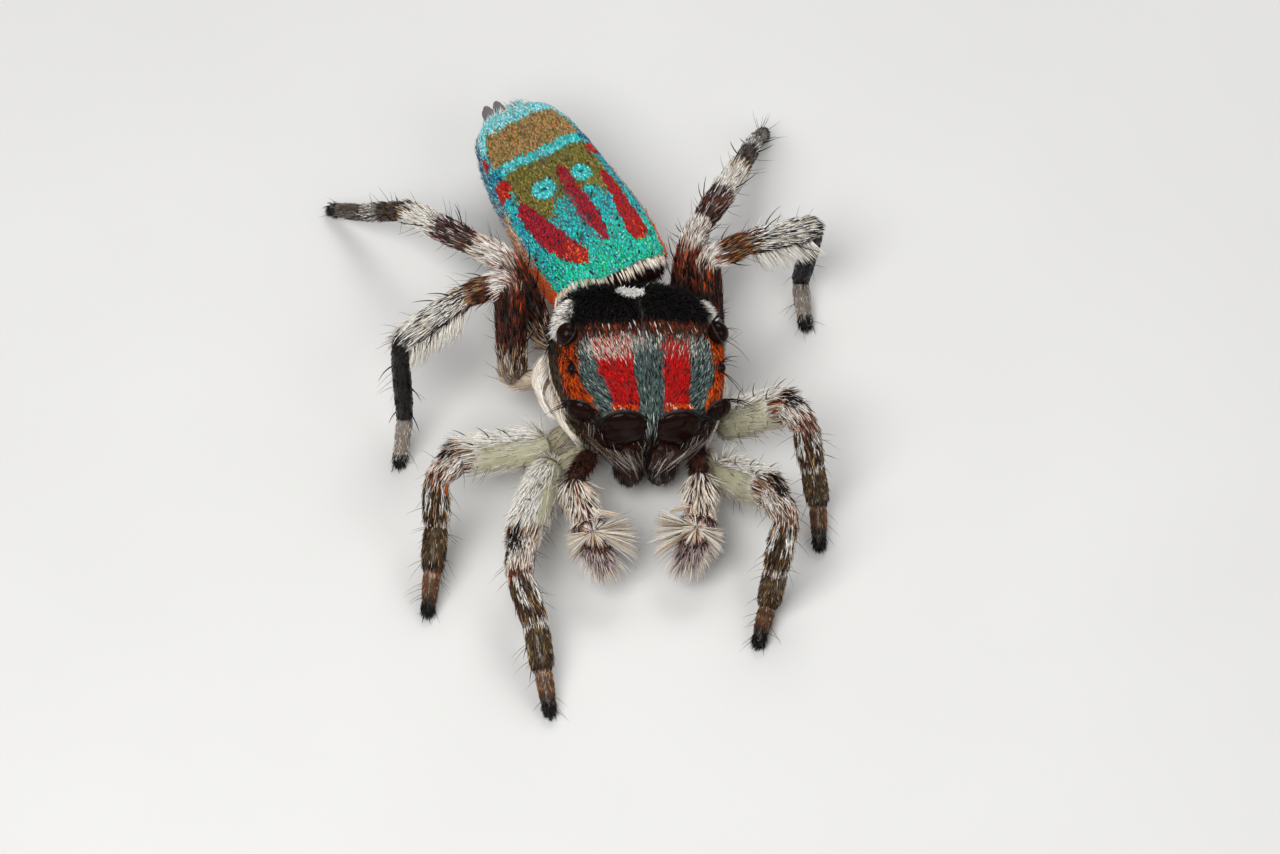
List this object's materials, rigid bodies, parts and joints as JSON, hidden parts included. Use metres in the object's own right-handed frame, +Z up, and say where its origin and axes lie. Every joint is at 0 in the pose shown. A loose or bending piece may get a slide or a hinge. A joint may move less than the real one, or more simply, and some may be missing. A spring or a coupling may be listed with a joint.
{
  "type": "peacock spider",
  "caption": "Small jumping spider standing on its feet, with a striped head, a long turquoise and red abdomen and banded hairy legs.",
  "frame": {"origin": "middle of the bounding box in plan, at the level of the floor the feet stand on", "axes": "+Z up, -Y the way the head faces, +X towards the left legs"},
  "size_m": [0.0056, 0.0082, 0.0018],
  "materials": {
    "carapace_coat": "short hairs and scales, matt, with red, slate and orange stripes and a black band",
    "abdomen_coat": "fine scales with a metallic sheen: turquoise with red stripes, olive patches and spots",
    "spinneret_skin": "dull dark grey, short hairs",
    "eye_lens": "smooth and very glossy, near black",
    "jaw_shell": "smooth dark red-brown with fine cross wrinkles",
    "palp_hair": "long cream hairs over dark skin",
    "pale_leg_coat": "translucent pale skin with long white hairs",
    "dark_leg_coat": "dark red-brown hairs",
    "banded_leg_coat": "mottled brown, black and white hairs in bands"
  },
  "bodies": {
    "root": {"abdomen": "abdomen_coat", "chelicera_left": "jaw_shell", "chelicera_right": "jaw_shell", "cymbium_left": "palp_hair", "cymbium_right": "palp_hair", "eye_al_left": "eye_lens", "eye_al_right": "eye_lens", "eye_am_left": "eye_lens", "eye_am_right": "eye_lens", "eye_pl_left": "eye_lens", "eye_pl_right": "eye_lens", "eye_pm_left": "eye_lens", "eye_pm_right": "eye_lens", "leg1_femur_left": "pale_leg_coat", "leg1_femur_right": "pale_leg_coat", "leg1_metatarsus_left": "banded_leg_coat", "leg1_metatarsus_right": "banded_leg_coat", "leg1_patella_left": "banded_leg_coat", "leg1_patella_right": "banded_leg_coat", "leg1_tarsus_left": "banded_leg_coat", "leg1_tarsus_right": "banded_leg_coat", "leg1_tibia_left": "banded_leg_coat", "leg1_tibia_right": "banded_leg_coat", "leg2_femur_left": "pale_leg_coat", "leg2_femur_right": "pale_leg_coat", "leg2_metatarsus_left": "banded_leg_coat", "leg2_metatarsus_right": "banded_leg_coat", "leg2_patella_left": "banded_leg_coat", "leg2_patella_right": "banded_leg_coat", "leg2_tarsus_left": "banded_leg_coat", "leg2_tarsus_right": "banded_leg_coat", "leg2_tibia_left": "banded_leg_coat", "leg2_tibia_right": "banded_leg_coat", "leg3_femur_left": "dark_leg_coat", "leg3_femur_right": "dark_leg_coat", "leg3_metatarsus_left": "banded_leg_coat", "leg3_metatarsus_right": "banded_leg_coat", "leg3_patella_left": "banded_leg_coat", "leg3_patella_right": "banded_leg_coat", "leg3_tarsus_left": "banded_leg_coat", "leg3_tarsus_right": "banded_leg_coat", "leg3_tibia_left": "banded_leg_coat", "leg3_tibia_right": "banded_leg_coat", "leg4_femur_left": "dark_leg_coat", "leg4_femur_right": "dark_leg_coat", "leg4_metatarsus_left": "banded_leg_coat", "leg4_metatarsus_right": "banded_leg_coat", "leg4_patella_left": "banded_leg_coat", "leg4_patella_right": "banded_leg_coat", "leg4_tarsus_left": "banded_leg_coat", "leg4_tarsus_right": "banded_leg_coat", "leg4_tibia_left": "banded_leg_coat", "leg4_tibia_right": "banded_leg_coat", "palp_femur_left": "jaw_shell", "palp_femur_right": "jaw_shell", "palp_tibia_left": "palp_hair", "palp_tibia_right": "palp_hair", "prosoma": "carapace_coat", "spinnerets": "spinneret_skin"}
  },
  "joints": []
}
